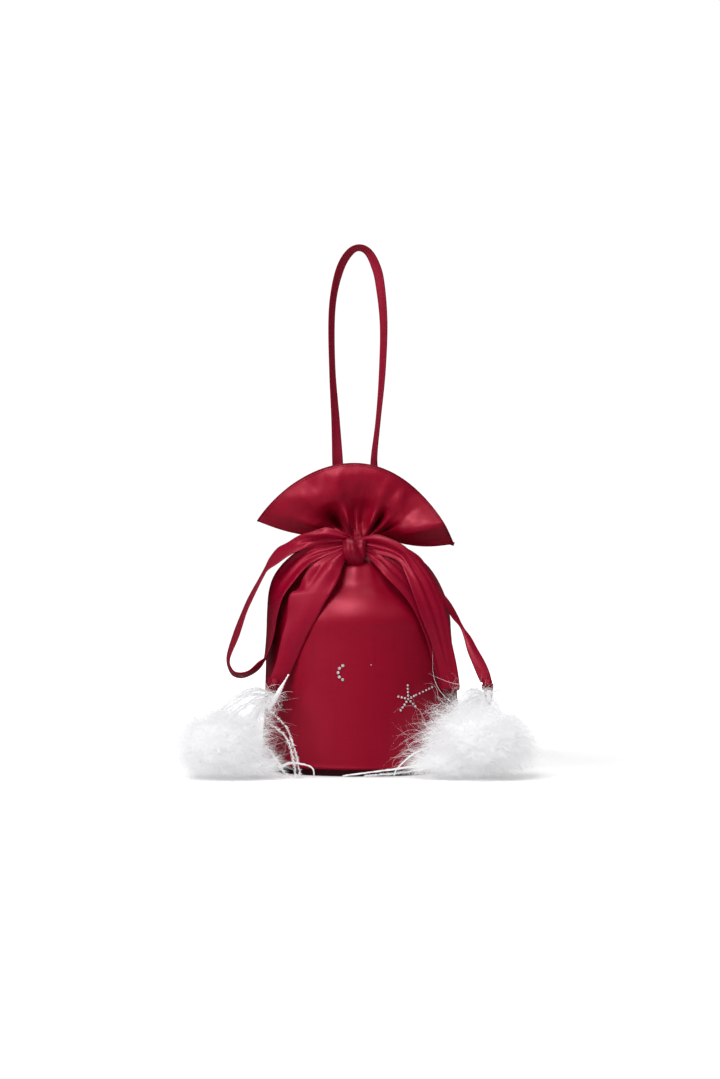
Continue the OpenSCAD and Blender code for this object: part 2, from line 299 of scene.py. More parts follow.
def profile(s):
    if s < 0.5:
        t = s / 0.5
        return Vector((blendOf(body["hemR"], body["sideR"], t), blendOf(body["hemZ"], body["sideZ"], t)))
    if s < 0.94:
        t = (s - 0.5) / 0.44
        a, b = Vector((body["sideR"], body["sideZ"])), Vector((body["sideR"] - 0.5, body["sideZ"] + 26))
        c, d = Vector((49, body["neckZ"] - 0.8)), Vector((body["neckR"], body["neckZ"]))
        return (1 - t) ** 3 * a + 3 * t * (1 - t) ** 2 * b + 3 * t * t * (1 - t) * c + t ** 3 * d
    t = (s - 0.94) / 0.06
    return Vector((blendOf(body["neckR"], 11.6, t), blendOf(body["neckZ"], 150.0, ease(t))))


# turn is 0 at the front, + to the right
def bodyPoint(turn, s):
    here, ahead = profile(s), profile(min(1, s + 0.004))
    behind = profile(max(0, s - 0.004))
    along = (ahead - behind).normalized()
    out = Vector((along.y, -along.x))
    high = ramp(s, 0.62, 0.9)
    fold = 0.0
    for count, phase, share in ((11, 0.4, 0.8), (17, 1.9, 0.6), (29, 0.8, 0.35)):
        wander = 1.6 * drift(math.cos(turn) * 1.6, math.sin(turn) * 1.6, s * 2 + count)
        fold += share * math.cos(count * turn + phase + wander)
    push = 0.75 * high * fold - 1.0 * high
    push += 0.35 * drift(math.cos(turn) * 1.3, math.sin(turn) * 1.3, s * 2.5) * ramp(s, 0.02, 0.2)
    push += 0.5 * drift(math.cos(turn) * 3.0, math.sin(turn) * 3.0, s * 5 + 7) * ramp(s, 0.35, 0.6)
    face = bump((turn + math.pi) % (2 * math.pi) - math.pi, 0.1, 1.15)
    push -= 6.2 * bump(turn, 0.12, 0.95) * bump(s, 0.69, 0.085)
    push += 1.2 * face * bump(s, 0.53, 0.045)
    push -= 1.2 * bump(turn, -0.02, 0.12) * bump(s, 0.87, 0.06) + 1.4 * bump(turn, 0.3, 0.14) * bump(s, 0.8, 0.1)
    push -= 1.6 * bump(turn, -0.28, 0.13) * bump(s, 0.82, 0.1)
    push += 0.5 * bump(s, 0.0, 0.008)
    r = here.x + out.x * push
    z = here.y + out.y * push
    shift = body["leanMm"] * ease(z / 145)
    return mm(shift + r * math.sin(turn), -r * math.cos(turn), z)


bodyCloth = clothGrid("bodyCloth", body["across"], body["along"],
    lambda u, v: bodyPoint(math.pi * (2 * u - 1), v),
    (2 * math.pi * 62, 190), satinRed, closed=True, thick=body["thick"] * millimetre)
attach(bodyCloth, "sack")
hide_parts("body_wall")


# a point on an inner layer, depthMm behind the middle of the cloth
def behindCloth(turn, s, depthMm):
    at, across, up = bodyPoint(turn, s), bodyPoint(turn + 0.02, s), bodyPoint(turn, min(1, s + 0.01))
    down = bodyPoint(turn, max(0, s - 0.01))
    out = (across - at).cross(up - down).normalized()
    return at - out * depthMm * millimetre


innerCloth = clothGrid("innerLining", 120, 60,
    lambda u, v: behindCloth(math.pi * (2 * u - 1), 0.004 + 0.93 * v, 2.6),
    (2 * math.pi * 58, 176), liningCloth, closed=True, thick=0.0006)
stiffWall = clothGrid("stiffWall", 120, 24,
    lambda u, v: behindCloth(math.pi * (2 * u - 1), 0.01 + 0.47 * v, 1.45),
    (2 * math.pi * 61, 84), greyBoard, closed=True, thick=0.0011)
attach(stiffWall, "sack")
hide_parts("body_stiffener")
bm = bmesh.new()
bmesh.ops.create_cone(bm, cap_ends=True, segments=96, radius1=0.0608, radius2=0.0608, depth=0.0006,
    matrix=Matrix.Translation(mm(0, 0, 4.5)))
liningFloor = finishMesh("liningFloor", bm, liningCloth, smooth=False)
for piece in (innerCloth, liningFloor):
    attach(piece, "sack")
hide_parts("lining")
hemTurns = [i / 60 * math.pi for i in range(120)]
hemWelt = tube("hemWelt", [mm(64.9 * math.sin(turn), -64.9 * math.cos(turn), 4.5) for turn in hemTurns],
    0.0007, satinEdgePaintedShade, closed=True, sides=2)
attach(hemWelt, "sack")
print("body sewn")


# The ruffle: the mouth of the same tube above the tie, opened out into a fan and hemmed.
ruffle = {
    "neckR": 10.6, "neckZ": 150.0, "fanX": -3.0, "fanZ": 147.0, "tilt": 6.5, "half": 84.5,
    "length": 50.0, "tipExtra": 14.0, "gap": 11.0, "thick": 1.0, "across": 520, "along": 72,
}
# each fold: where it lies across the fan in degrees, its width, its depth near the tie and near the hem
ruffleFolds = [
    (-45, 9, 12.5, 0.8), (-24, 5, -4.8, -0.8), (-60, 6, 2.0, 0.6), (3, 12, 6.0, 0.8), (-11, 4, 2.6, 0.0),
    (20, 5, -3.6, -0.8), (31, 5, 9.5, 1.2), (43, 4, -1.6, 0.0), (54, 4, 3.0, 0.4), (-76, 8, 1.2, 0.4),
    (80, 6, 1.6, 0.6)]
# each puff: its middle across and up, its half width and half height, how far it swells out
rufflePuffs = [
    (43, 154.5, 24, 12.5, 14.0), (-48, 153, 25, 12, 12.0), (-31, 175, 19, 9, 5.0), (-2, 171, 11, 8, -2.0),
    (17, 173, 10, 9, 3.0), (42, 178, 12, 7, -2.0), (-6, 189, 26, 6, 1.2)]


def rufflePoint(u, s):
    round_ = 360 * u
    front = round_ <= 180
    a = (round_ - 90) if front else (270 - round_)
    g = a / 90 * ruffle["half"]
    q = math.radians(a)
    face = -1 if front else 1
    reach = ruffle["length"] + ruffle["tipExtra"] * (abs(g) / ruffle["half"]) ** 3 - 2 * math.sin(math.radians(g))
    angle = math.radians(g + ruffle["tilt"])
    neck = Vector((-1.5 + ruffle["neckR"] * math.sin(q), face * ruffle["neckR"] * math.cos(q),
        ruffle["neckZ"] + 1.0 * (1 - math.cos(q))))
    apart = face * ruffle["gap"] * math.cos(q) ** 0.8 if abs(a) < 90 else 0.0
    hem = Vector((ruffle["fanX"] + reach * math.sin(angle), apart, ruffle["fanZ"] + reach * math.cos(angle)))
    at = blendOf(neck, hem, s ** 0.92)
    edge = ramp(90 - abs(a), 0, 15)
    depth = 0.0
    for k, (middle, width, near, far) in enumerate(ruffleFolds):
        middle = middle if front else -middle * 0.9 + 5
        wander = 5 * drift(s * 2.0, k * 3.1, 2 if front else 9)
        deep = near * ramp(s, 0.0, 0.2) * (1 - ramp(s, 0.22, 0.54))
        deep += far * ramp(s, 0.35, 0.7) * (1 - 0.7 * ramp(s, 0.75, 1))
        depth += deep * bump(g, middle + wander, width * (0.8 + 0.5 * s))
    puff = 3.4 * bump(s, 0.72, 0.3) * ramp(s, 0.0, 0.2) * (0.55 + 0.45 * math.cos(math.radians(g * 1.2)))
    puff += 1.2 * ramp(s, 0.6, 1)
    across = at.x if front else -at.x - 6
    for x, z, wide, high, out in rufflePuffs:
        swell = math.exp(-((across - x) / wide) ** 4) * bump(at.z, z, high)
        puff += (out if front else 0.8 * out) * ramp(s, 0.08, 0.4) * swell
    gather = 0.4 * math.cos(math.radians(g) * 10 + 3 * drift(g * 0.05, s * 2, 3)) * (1 - ramp(s, 0.05, 0.36))
    ripple = 0.5 * drift(g * 0.06, s * 3, 20 if front else 30) + 0.25 * drift(g * 0.16, s * 6, 40 if front else 50)
    at.y += face * (puff - depth + gather + ripple) * edge
    at.z -= 4.2 * math.sin(math.pi * s) * (abs(g) / 90) ** 2.5
    return at * millimetre


ruffleCloth = clothGrid("ruffleCloth", ruffle["across"], ruffle["along"], rufflePoint, (390, 52), satinRed,
    closed=True, thick=ruffle["thick"] * millimetre)
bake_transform(ruffleCloth)
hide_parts("ruffle_front", "ruffle_back")
hemLine = [rufflePoint(i / 240, 1.0) for i in range(240)]
hemEdge = tube("ruffleHemEdge", hemLine, 0.00075, satinEdgePaintedShade, closed=True, sides=2)
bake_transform(hemEdge)


def stitchPlace(u, s, step=0.002):
    at, along = rufflePoint(u, s), rufflePoint(min(1, u + step), s) - rufflePoint(max(0, u - step), s)
    up = rufflePoint(u, min(1, s + 0.02)) - rufflePoint(u, s - 0.02)
    out = along.cross(up).normalized()
    return at, along, out


stitches = []
for i in range(160):
    u = (i + 0.5) / 160
    if 0.012 < u % 0.5 < 0.488:
        at, along, out = stitchPlace(u, 0.968)
        stitches += [(at + out * 0.00055 * k, along, out) for k in (1, -1)]
hemStitches = stitchRow("ruffleStitches", stitches, 1.9, 0.42, threadRed)
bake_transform(hemStitches)
rightTip = rufflePoint(0.5, 1.0)
nub = tube("mouthNub", [rightTip + mm(-1.6, 0, 0.4), rightTip + mm(0.9, 0, -0.5)], 0.0013, satinEdgePaintedShade, sides=3)
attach(nub, "sack")
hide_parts("mouth_seam_tab")
print("ruffle gathered")


# A flat band of sash: edges are pairs of points in mm, lift(u, v) raises the cloth off its plane in mm.
def bandCloth(name, edges, across, along, material, lift, thick=0.8):
    lefts, rights = [Vector(e[0]) for e in edges], [Vector(e[1]) for e in edges]
    lengthMm = sum((lefts[i + 1] + rights[i + 1] - lefts[i] - rights[i]).length / 2 for i in range(len(edges) - 1))
    widthMm = max((a - b).length for a, b in zip(lefts, rights))

    def place(u, v):
        left, right = through(lefts, v), through(rights, v)
        step = 0.01
        ahead = through(lefts, min(1, v + step)) + through(rights, min(1, v + step))
        behind = through(lefts, max(0, v - step)) + through(rights, max(0, v - step))
        out = (ahead - behind).cross(right - left).normalized()
        return (blendOf(left, right, u) + out * lift(u, v)) * millimetre

    made = clothGrid(name, across, along, place, (widthMm, lengthMm), material, thick=thick * millimetre)
    return made, place


# seam edges: a thin cord of turned cloth along both sides of a band
def bandEdges(name, place, material, radius=0.0004, steps=90):
    made = []
    for side, u in (("A", 0.0), ("B", 1.0)):
        made.append(tube(name + side, [place(u, i / steps) for i in range(steps + 1)], radius, material))
    return made


def crease(u, v, centre, width, deep):
    return deep * bump(u, centre + 0.05 * drift(v * 4, centre * 9, 1), width)


# Left loop of the bow, as pairs of edge points in mm: the back edge, then the front edge
loopLeftEdges = [
    ((-8, -36, 150.5), (-8, -36, 147)), ((-12, -38, 152.8), (-13.5, -37, 146.8)),
    ((-21.9, -38, 156), (-20.4, -36, 145.6)), ((-29, -35, 154), (-30, -36, 144.2)),
    ((-36.6, -30, 149.6), (-37.5, -38, 142.8)), ((-44, -23, 146.3), (-46.8, -39.5, 138.2)),
    ((-52.7, -16, 143.3), (-54.2, -40.5, 133.1)), ((-58, -15.5, 138), (-59.5, -40.5, 129.6)),
    ((-62.3, -15.5, 130.1), (-62.4, -40.5, 125.5)), ((-71.8, -15.5, 113.3), (-69.8, -40.5, 110.7)),
    ((-76.9, -15.5, 102.2), (-73.8, -40.5, 101.7)), ((-82.8, -15.5, 87.6), (-78.4, -40.5, 87)),
    ((-86.8, -15.5, 73), (-84.2, -40.5, 72.5)), ((-84.3, -15.5, 62.4), (-82.3, -40.5, 65.6)),
    ((-78.5, -15.5, 59.4), (-78, -40.5, 63.8)), ((-71.8, -16, 61.2), (-72, -40.5, 65.3)),
    ((-65.9, -17, 65.6), (-66, -40.5, 70.5)), ((-62.8, -18, 72), (-60.4, -40.5, 75)),
    ((-61.2, -20, 87.6), (-56.2, -40.5, 87.6)), ((-60.6, -22, 102.2), (-54.0, -41.5, 100)),
    ((-59.4, -26, 115), (-50.6, -42.5, 111.5)), ((-55.6, -29, 125.7), (-44.8, -42.5, 119.9)),
    ((-47, -32, 136), (-34.6, -42.5, 131.8)), ((-35.1, -35, 143.7), (-25, -42, 137)),
    ((-20, -35, 145.6), (-15.5, -40, 141.2)), ((-8, -36, 146.5), (-8, -38, 143.5))]


def loopLeftLift(u, v):
    near = 1 - ramp(min(v, 1 - v), 0.02, 0.22)
    arch = 4.6 * bump(v, 0.14, 0.1) * bump(u, 0.26, 0.24) + 1.2 * bump(v, 0.88, 0.08) * math.sin(math.pi * u)
    doubled = 0.7 * bump(u, 0.42, 0.06) * bump(v, 0.14, 0.12)
    gather = 0.7 * math.cos(u * 15 + 3 * v) * near
    return gather + arch - doubled + 0.5 * math.sin(math.pi * u) + 0.4 * drift(u * 2, v * 9, 4)


sashLoopLeft, place = bandCloth("sashLoopLeft", loopLeftEdges, 22, 260, satinSash, loopLeftLift)
loopLeftSeams = bandEdges("sashLoopLeftEdge", place, satinSash)
for piece in [sashLoopLeft, *loopLeftSeams]:
    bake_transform(piece)
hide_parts("bow_loop_left")


# A point of sash lying over the round body, at least keep in front of the middle (mm)
def over(x, z, gap, keep):
    s = 0.5 * (z - body["hemZ"]) / (body["sideZ"] - body["hemZ"])
    if z > body["sideZ"]:
        low, high = 0.5, 0.94
        for _ in range(20):
            s = (low + high) / 2
            low, high = (s, high) if profile(s).y < z else (low, s)
    r = profile(min(s, 0.94)).x
    return (x, -max(keep, math.sqrt(max(0, r * r - x * x)) + gap), z)


loopRight = {"out": 7.5, "under": 2.5, "keep": 44}
out, under, keep = loopRight["out"], loopRight["under"], loopRight["keep"]
loopRightEdges = [(over(*back), over(*front)) for back, front in [
    ((-1, 142.5, 0, 33), (-1, 149.5, 0, 33)), ((3, 141.6, 0, 36), (4, 150.6, 0, 34)),
    ((10, 139.2, 2, 38), (9.5, 151.4, 1, 35)), ((17, 137.6, 4, 41), (17.5, 148.8, 4, 37)),
    ((24, 134.2, out, 43), (27, 143.9, out, 40)), ((26.8, 129, out, keep), (34.5, 136, out, keep - 2)),
    ((30, 121, out, keep), (43, 124.5, out, keep)), ((33.5, 110.5, out, keep), (49.5, 112, out, keep)),
    ((38.3, 97.5, out, keep), (53.9, 99, out, keep)), ((43.6, 84, out, keep), (56.4, 84.5, out, keep)),
    ((47.8, 69, out, keep), (59.6, 69.5, out, keep)), ((51, 56, out, keep), (61.6, 56.5, out, keep)),
    ((51.5, 53, under + 3, keep - 2), (61, 53, under + 3, keep - 2)),
    ((49.4, 55.8, under + 0.8, keep - 4), (58, 56, under + 0.8, keep - 4)),
    ((45.3, 70, under, keep - 4), (55, 71, under, keep - 4)),
    ((39.3, 90, under + 2, 0), (49, 90, under, keep - 4)),
    ((29.5, 110, under + 4, 0), (41, 112, under, keep - 4)),
    ((14.5, 126.5, under + 3, 0), (26, 131, under, keep - 4)), ((5.5, 136.2, 2, 40), (12, 141, 2, 36)),
    ((-1, 140, 2, 41), (-1, 144, 2, 38))]]


def loopRightLift(u, v):
    near = 1 - ramp(min(v, 1 - v), 0.03, 0.25)
    pleat = crease(u, v, 0.35, 0.09, 0.9) - crease(u, v, 0.5, 0.08, 0.8) + crease(u, v, 0.68, 0.09, 0.8)
    front = 1 - ramp(v, 0.5, 0.56)
    arch = 4.0 * bump(u, 0.76, 0.22) * bump(v, 0.12, 0.1)
    pleat *= front * (1 - 0.6 * ramp(v, 0.2, 0.5))
    return arch + pleat + 0.6 * math.cos(u * 15) * near + 0.3 * drift(u * 2, v * 9, 14)


sashLoopRight, place = bandCloth("sashLoopRight", loopRightEdges, 26, 260, satinSash, loopRightLift)
loopRightSeams = bandEdges("sashLoopRightEdge", place, satinSash)
for piece in [sashLoopRight, *loopRightSeams]:
    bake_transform(piece)
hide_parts("bow_loop_right")
print("loops tied")


keep = 48
tailLeftEdges = [(over(*back), over(*front)) for back, front in [
    ((-5, 144.4, 0, 36), (-5, 139.5, 0, 37)), ((-13, 142.2, 0, 40), (-10.5, 137, 0, 41)),
    ((-24.6, 136.2, 5, 46), (-12.6, 131.5, 5, 46)), ((-31.2, 132.2, 5, keep), (-13.9, 127, 5, keep)),
    ((-36.4, 125.5, 4, keep), (-16.5, 121, 4, keep)), ((-40.4, 118.3, 4, keep), (-19.5, 115.5, 4, keep)),
    ((-44.8, 114.6, 4, keep), (-21.8, 112, 4, keep)), ((-46.5, 109.5, 4, keep), (-24.5, 107.5, 4, keep)),
    ((-47.4, 99.1, 4, keep), (-29, 99.1, 4, keep)), ((-50.2, 88.1, 4, keep), (-34.8, 88.1, 4, keep)),
    ((-52.6, 77.3, 4, keep), (-39.8, 77, 4, keep)), ((-55.6, 66.4, 4, keep), (-44.6, 66, 4, keep)),
    ((-60.2, 55.5, 4, keep), (-49.5, 55.5, 4, keep)), ((-61, 50, 4, keep), (-53, 49, 4, keep))]]


def tailLeftLift(u, v):
    near = 1 - ramp(v, 0.05, 0.3)
    fold = 2.2 * bump(u, 0.66, 0.2) * bump(v, 0.2, 0.14) - 1.2 * bump(u, 0.3, 0.12) * bump(v, 0.27, 0.1)
    tuck = -2.4 * bump(u, 0.0, 0.16) * bump(v, 0.39, 0.05)
    gather = 0.5 * math.cos(u * 12 + 1) * near
    return gather + fold + tuck + 0.8 * math.sin(math.pi * u) + 0.5 * drift(u * 1.5, v * 6, 24)


sashTailLeft, place = bandCloth("sashTailLeft", tailLeftEdges, 26, 150, satinSash, tailLeftLift)
tailLeftSeams = bandEdges("sashTailLeftEdge", place, satinSash, steps=60)
for piece in [sashTailLeft, *tailLeftSeams]:
    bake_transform(piece)
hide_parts("tail_left")

tailRightEdges = [
    ((4, -31, 142), (4, -24, 144)), ((19, -35, 142.5), (19, -24, 145.5)), ((30, -36, 133), (35.6, -23, 137.7)),
    ((37, -35, 122.5), (44.9, -22, 124)), ((44.5, -33, 113.5), (51, -22, 115)),
    ((51.8, -30, 107.5), (57, -22, 107)), ((58, -27, 98.5), (61.5, -22, 99)),
    ((62.8, -26, 92.7), (64.7, -24, 92.3)), ((65.5, -29, 85.5), (69.5, -27, 86)),
    ((67.4, -33, 78), (73.5, -31, 78.5)), ((70.2, -36, 70.5), (77.8, -35, 71)),
    ((73, -38, 63.5), (80.8, -38, 64)), ((75.5, -40, 57.8), (82.5, -40, 57))]


def tailRightLift(u, v):
    gather = 0.6 * math.cos(u * 12 + 2 * v) * (1 - ramp(v, 0.1, 0.5))
    return gather + 0.8 * math.sin(math.pi * u) + 0.3 * drift(u * 2, v * 7, 34)


sashTailRight, place = bandCloth("sashTailRight", tailRightEdges, 20, 160, satinSash, tailRightLift)
tailRightSeams = bandEdges("sashTailRightEdge", place, satinSash, steps=60)
for piece in [sashTailRight, *tailRightSeams]:
    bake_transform(piece)
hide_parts("tail_right")
print("tails hung")


# The knot: the sash passed twice round the crossing, pulled tight, with creases that wander down it.
knot = {"x": -5.0, "width": 14.5, "across": 64, "round": 96}


def knotPoint(u, v):
    angle = math.radians(blendOf(-150, 150, v))
    side = 2 * u - 1
    pinch = 1 - 0.16 * bump(v, 0.72, 0.16) - 0.22 * bump(v, 0.02, 0.12) - 0.3 * bump(v, 0.98, 0.1)
    centre = Vector((0, -31.5, 143.2))
    toward = Vector((0, -math.cos(angle), -math.sin(angle)))
    slope = math.radians(24)
    long = Vector((0, -math.cos(slope), -math.sin(slope)))
    reach = 6.4 + 9.6 * max(0, toward.dot(long)) ** 1.5 + 5.0 * max(0, -toward.dot(long)) ** 2
    split = -0.14 + 0.3 * ramp(v, 0.25, 0.5) + 0.9 * ramp(v, 0.46, 0.66)
    middle, half = ((split - 1) / 2, (split + 1) / 2) if side < split else ((split + 1) / 2, (1 - split) / 2)
    wrap = max(0.0, 1 - abs((side - middle) / max(half, 0.05)) ** 2.4)
    ridges = (3.6 if side < split else 3.2 - 2.4 * ramp(v, 0.44, 0.62)) * wrap - 2.4
    ridges += 0.22 * math.cos(10 * (side - 0.8 * ramp(v, 0.4, 0.85)) + 3 * drift(v * 3, side, 5))
    ridges += 0.5 * drift(side * 2.5, v * 5, 8)
    at = centre + toward * (reach - 1.2 + ridges * 0.8)
    at.x = knot["x"] + side * knot["width"] / 2 * pinch
    return at * millimetre


knotCloth = clothGrid("knotCloth", knot["across"], knot["round"], knotPoint, (30, 60), satinKnotPaintedShade, smoothSteps=1,
    thick=0.0008)
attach(knotCloth, "sack")
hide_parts("bow_knot")


def neckWrapPoint(u, v):
    turn = 2 * math.pi * u
    high = v * 2 - 1
    crinkle = 0.45 * math.cos(v * 22 + 2 * drift(math.cos(turn), math.sin(turn), 6))
    r = 14.1 + 1.3 * math.sqrt(max(0, 1 - high * high)) + crinkle
    return mm(-1.5 + r * math.sin(turn), -r * math.cos(turn), 146.9 + 3.3 * high)


neckSash = clothGrid("neckSash", 160, 20, neckWrapPoint, (90, 9), satinSash, closed=True, thick=0.0008)
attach(neckSash, "sack")
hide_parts("sash_neck_wrap")
print("knot pulled")


# The wrist strap: one folded strip from inside the mouth, up round the loop, and back down. Each point of its path
# is x, y, z in mm and the turn of the strip about its own run: 0 shows its full face, 90 its edge.
strap = {
    "half": 3.2, "stitches": 170,
    "path": [
        (-14, 6.4, 172, 4), (-15.4, 5.8, 187, 5), (-16.0, 5, 201, 6), (-17.2, 5, 226, 42), (-19.2, 5, 258, 58),
        (-19.8, 5, 290, 58), (-18, 5, 310, 54), (-13.8, 5, 326, 48), (-8, 5, 335.5, 52), (-2.2, 5, 338.6, 60),
        (3.8, 5, 336, 50), (8.4, 5, 328, 36), (11.6, 5, 316, 34), (14.0, 5, 290, 48), (13.2, 5, 258, 56),
        (10.4, 5, 226, 66), (7.8, 5, 201, 56), (8.6, 5.2, 187, 30), (10.4, 5.6, 172, 10)],
}
strapEdges = []
path = [Vector(p[:3]) for p in strap["path"]]
for i, (*_, turn) in enumerate(strap["path"]):
    run = path[min(i + 1, len(path) - 1)] - path[max(i - 1, 0)]
    flat = Vector((run.z, 0, -run.x)).normalized()
    side = (flat * math.cos(math.radians(turn)) + Vector((0, math.sin(math.radians(turn)), 0))) * strap["half"]
    strapEdges.append((tuple(path[i] - side), tuple(path[i] + side)))
strapCloth, strapPlace = bandCloth("strapCloth", strapEdges, 10, 300, satinStrapPaintedSheen,
    lambda u, v: 0.35 * math.sin(math.pi * u) ** 0.5 + 0.12 * drift(u * 2, v * 20, 44), thick=1.0)
strapSeams = bandEdges("strapEdge", strapPlace, satinEdgePaintedShade, radius=0.00035, steps=200)


def strapStitch(i, across=0.12):
    middle, start, end = ((i + part) / strap["stitches"] for part in (0.5, 0.1, 0.9))
    at, along = strapPlace(across, middle), strapPlace(across, end) - strapPlace(across, start)
    return at, along, along.cross(strapPlace(0.6, middle) - at).normalized()


strapSeam = stitchRow("strapStitches", [strapStitch(i) for i in range(strap["stitches"])], 1.3, 0.3, threadRed)
for piece in [strapCloth, *strapSeams, strapSeam]:
    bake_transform(piece)
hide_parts("handle_strap", "handle_anchor_left", "handle_anchor_right")
print("strap sewn")


# Small round cut stones, each set where the CAD has one, turned to face out of the cloth.
def stoneCentres(node):
    bm = bmesh.new()
    bm.from_mesh(nodes[node].data)
    left, centres = set(bm.verts), []
    while left:
        island, edge = set(), [next(iter(left))]
        while edge:
            vert = edge.pop()
            if vert not in island:
                island.add(vert)
                edge += [e.other_vert(vert) for e in vert.link_edges]
        left -= island
        centres.append(sum((v.co for v in island), Vector()) / len(island))
    bm.free()
    return sorted(centres, key=tuple)


# how large each stone shows: the dots in the middle of the front are the smallest
def stoneSize(node, centre):
    if node == "stones_star":
        return 0.86
    if node == "stones_crescent":
        return 1.12
    if abs(centre.x) < 0.02:
        return 0.45
    return 1.0 if centre.z > 0.08 else 0.75


def setStones(name, node):
    bm = bmesh.new()
    for centre in stoneCentres(node):
        _, at, out, _ = bodyCloth.closest_point_on_mesh(centre)
        turn = Vector((0, 0, 1)).rotation_difference(out).to_matrix().to_4x4()
        place = Matrix.Translation(at + out * 0.0006) @ turn
        size = stoneSize(node, centre)
        for low, high, tall, up in ((0.00078, 0.00084, 0.0004, 0.0002), (0.00082, 0.0004, 0.00055, 0.00068)):
            bmesh.ops.create_cone(bm, cap_ends=True, segments=10, radius1=low * size, radius2=high * size,
                depth=tall, matrix=place @ Matrix.Translation((0, 0, up)))
    made = finishMesh(name, bm, stoneGlassPaintedGlints, smooth=False)
    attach(made, "sack")
    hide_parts(node)
    return made


for kind in ("star", "crescent", "scatter"):
    setStones(kind + "Stones", "stones_" + kind)
print("stones set")


# A plume: quills from the tie out into a soft round bunch, each with curled strands down both sides. Per side: the
# lobes of the bunch (middle, radii and share of the strands), tight curls (middle, size, count), long hairs (start,
# direction, count, lengths), and the lines in mm along which strands fall to the floor or trail over it.
plumes = {
    "left": {
        "tie": (-54, -52, 50), "body": "plume_left", "seed": 11, "wisps": 420,
        "lobes": [((-88, -79, 21), (30, 33, 23), 0.85), ((-68, -80, 8), (17, 20, 8), 0.15)],
        "curls": ((-63, -68, 38), (8, 8, 8), 60), "long": ((-66, -74, 30), 1, 9, (14, 34)),
        "falls": [((-58, -62, 41), (-48, -70, 32), (-43.5, -75, 22), (-40.5, -76, 12), (-38.5, -76, 1.5)),
            ((-60, -66, 34), (-50, -73, 28), (-45, -77, 20), (-43, -78, 12), (-41, -79, 1.5)),
            ((-60, -70, 20), (-54, -74, 12), (-50, -78, 6), (-46, -80, 1.5))],
        "trails": [((-52, -72, 6), (-45, -74, 9), (-37, -74, 8.5), (-31, -73, 6), (-30, -72, 1))]},
    "right": {
        "tie": (78, -43, 50), "body": "plume_right", "seed": 23, "wisps": 800,
        "lobes": [((73, -79, 23), (37, 33, 25), 0.75), ((54, -82, 10), (26, 20, 10), 0.25)],
        "curls": ((60, -70, 38), (13, 9, 9), 190), "long": ((64, -76, 30), -1, 30, (20, 42)),
        "falls": [((60, -66, 14), (40, -72, 6), (26, -74, 3.5), (14, -74, 2), (2, -73, 1.2))],
        "trails": [((44, -72, 20), (32, -74, 15), (22, -74, 6), (20, -73, 1)),
            ((40, -70, 8), (18, -72, 5), (2, -72, 3), (-12, -72, 1))]},
}
plumeShape = {"quills": 20, "barbs": 110, "down": 11000, "barbMm": (8, 20), "downMm": (7, 17), "tufts": 220,
    "reach": (127, 128)}


def strand(curve, start, heading, lengthMm, curl, droop, widthMm, steps, rng):
    spline = curve.splines.new("POLY")
    spline.points.add(steps)
    sideways = heading.cross(Vector((rng.uniform(-1, 1), rng.uniform(-1, 1), rng.uniform(-1, 1)))).normalized()
    phase = rng.uniform(0, 6.28)
    at, way = start.copy(), heading.normalized()
    reachX, reachY = plumeShape["reach"]
    for i, point in enumerate(spline.points):
        t = i / steps
        inside = (max(-reachX, min(reachX, at.x)), max(-reachY, at.y), max(at.z, 0.4 + 0.3 * widthMm))
        point.co = (*[c * millimetre for c in inside], 1)
        point.radius = max(0.12, (1 - t) ** 0.7) * widthMm
        bend = sideways * curl * math.sin(phase + t * 3.5) + Vector((0, 0, -droop))
        way = (way + bend / steps).normalized()
        at = at + way * lengthMm / steps


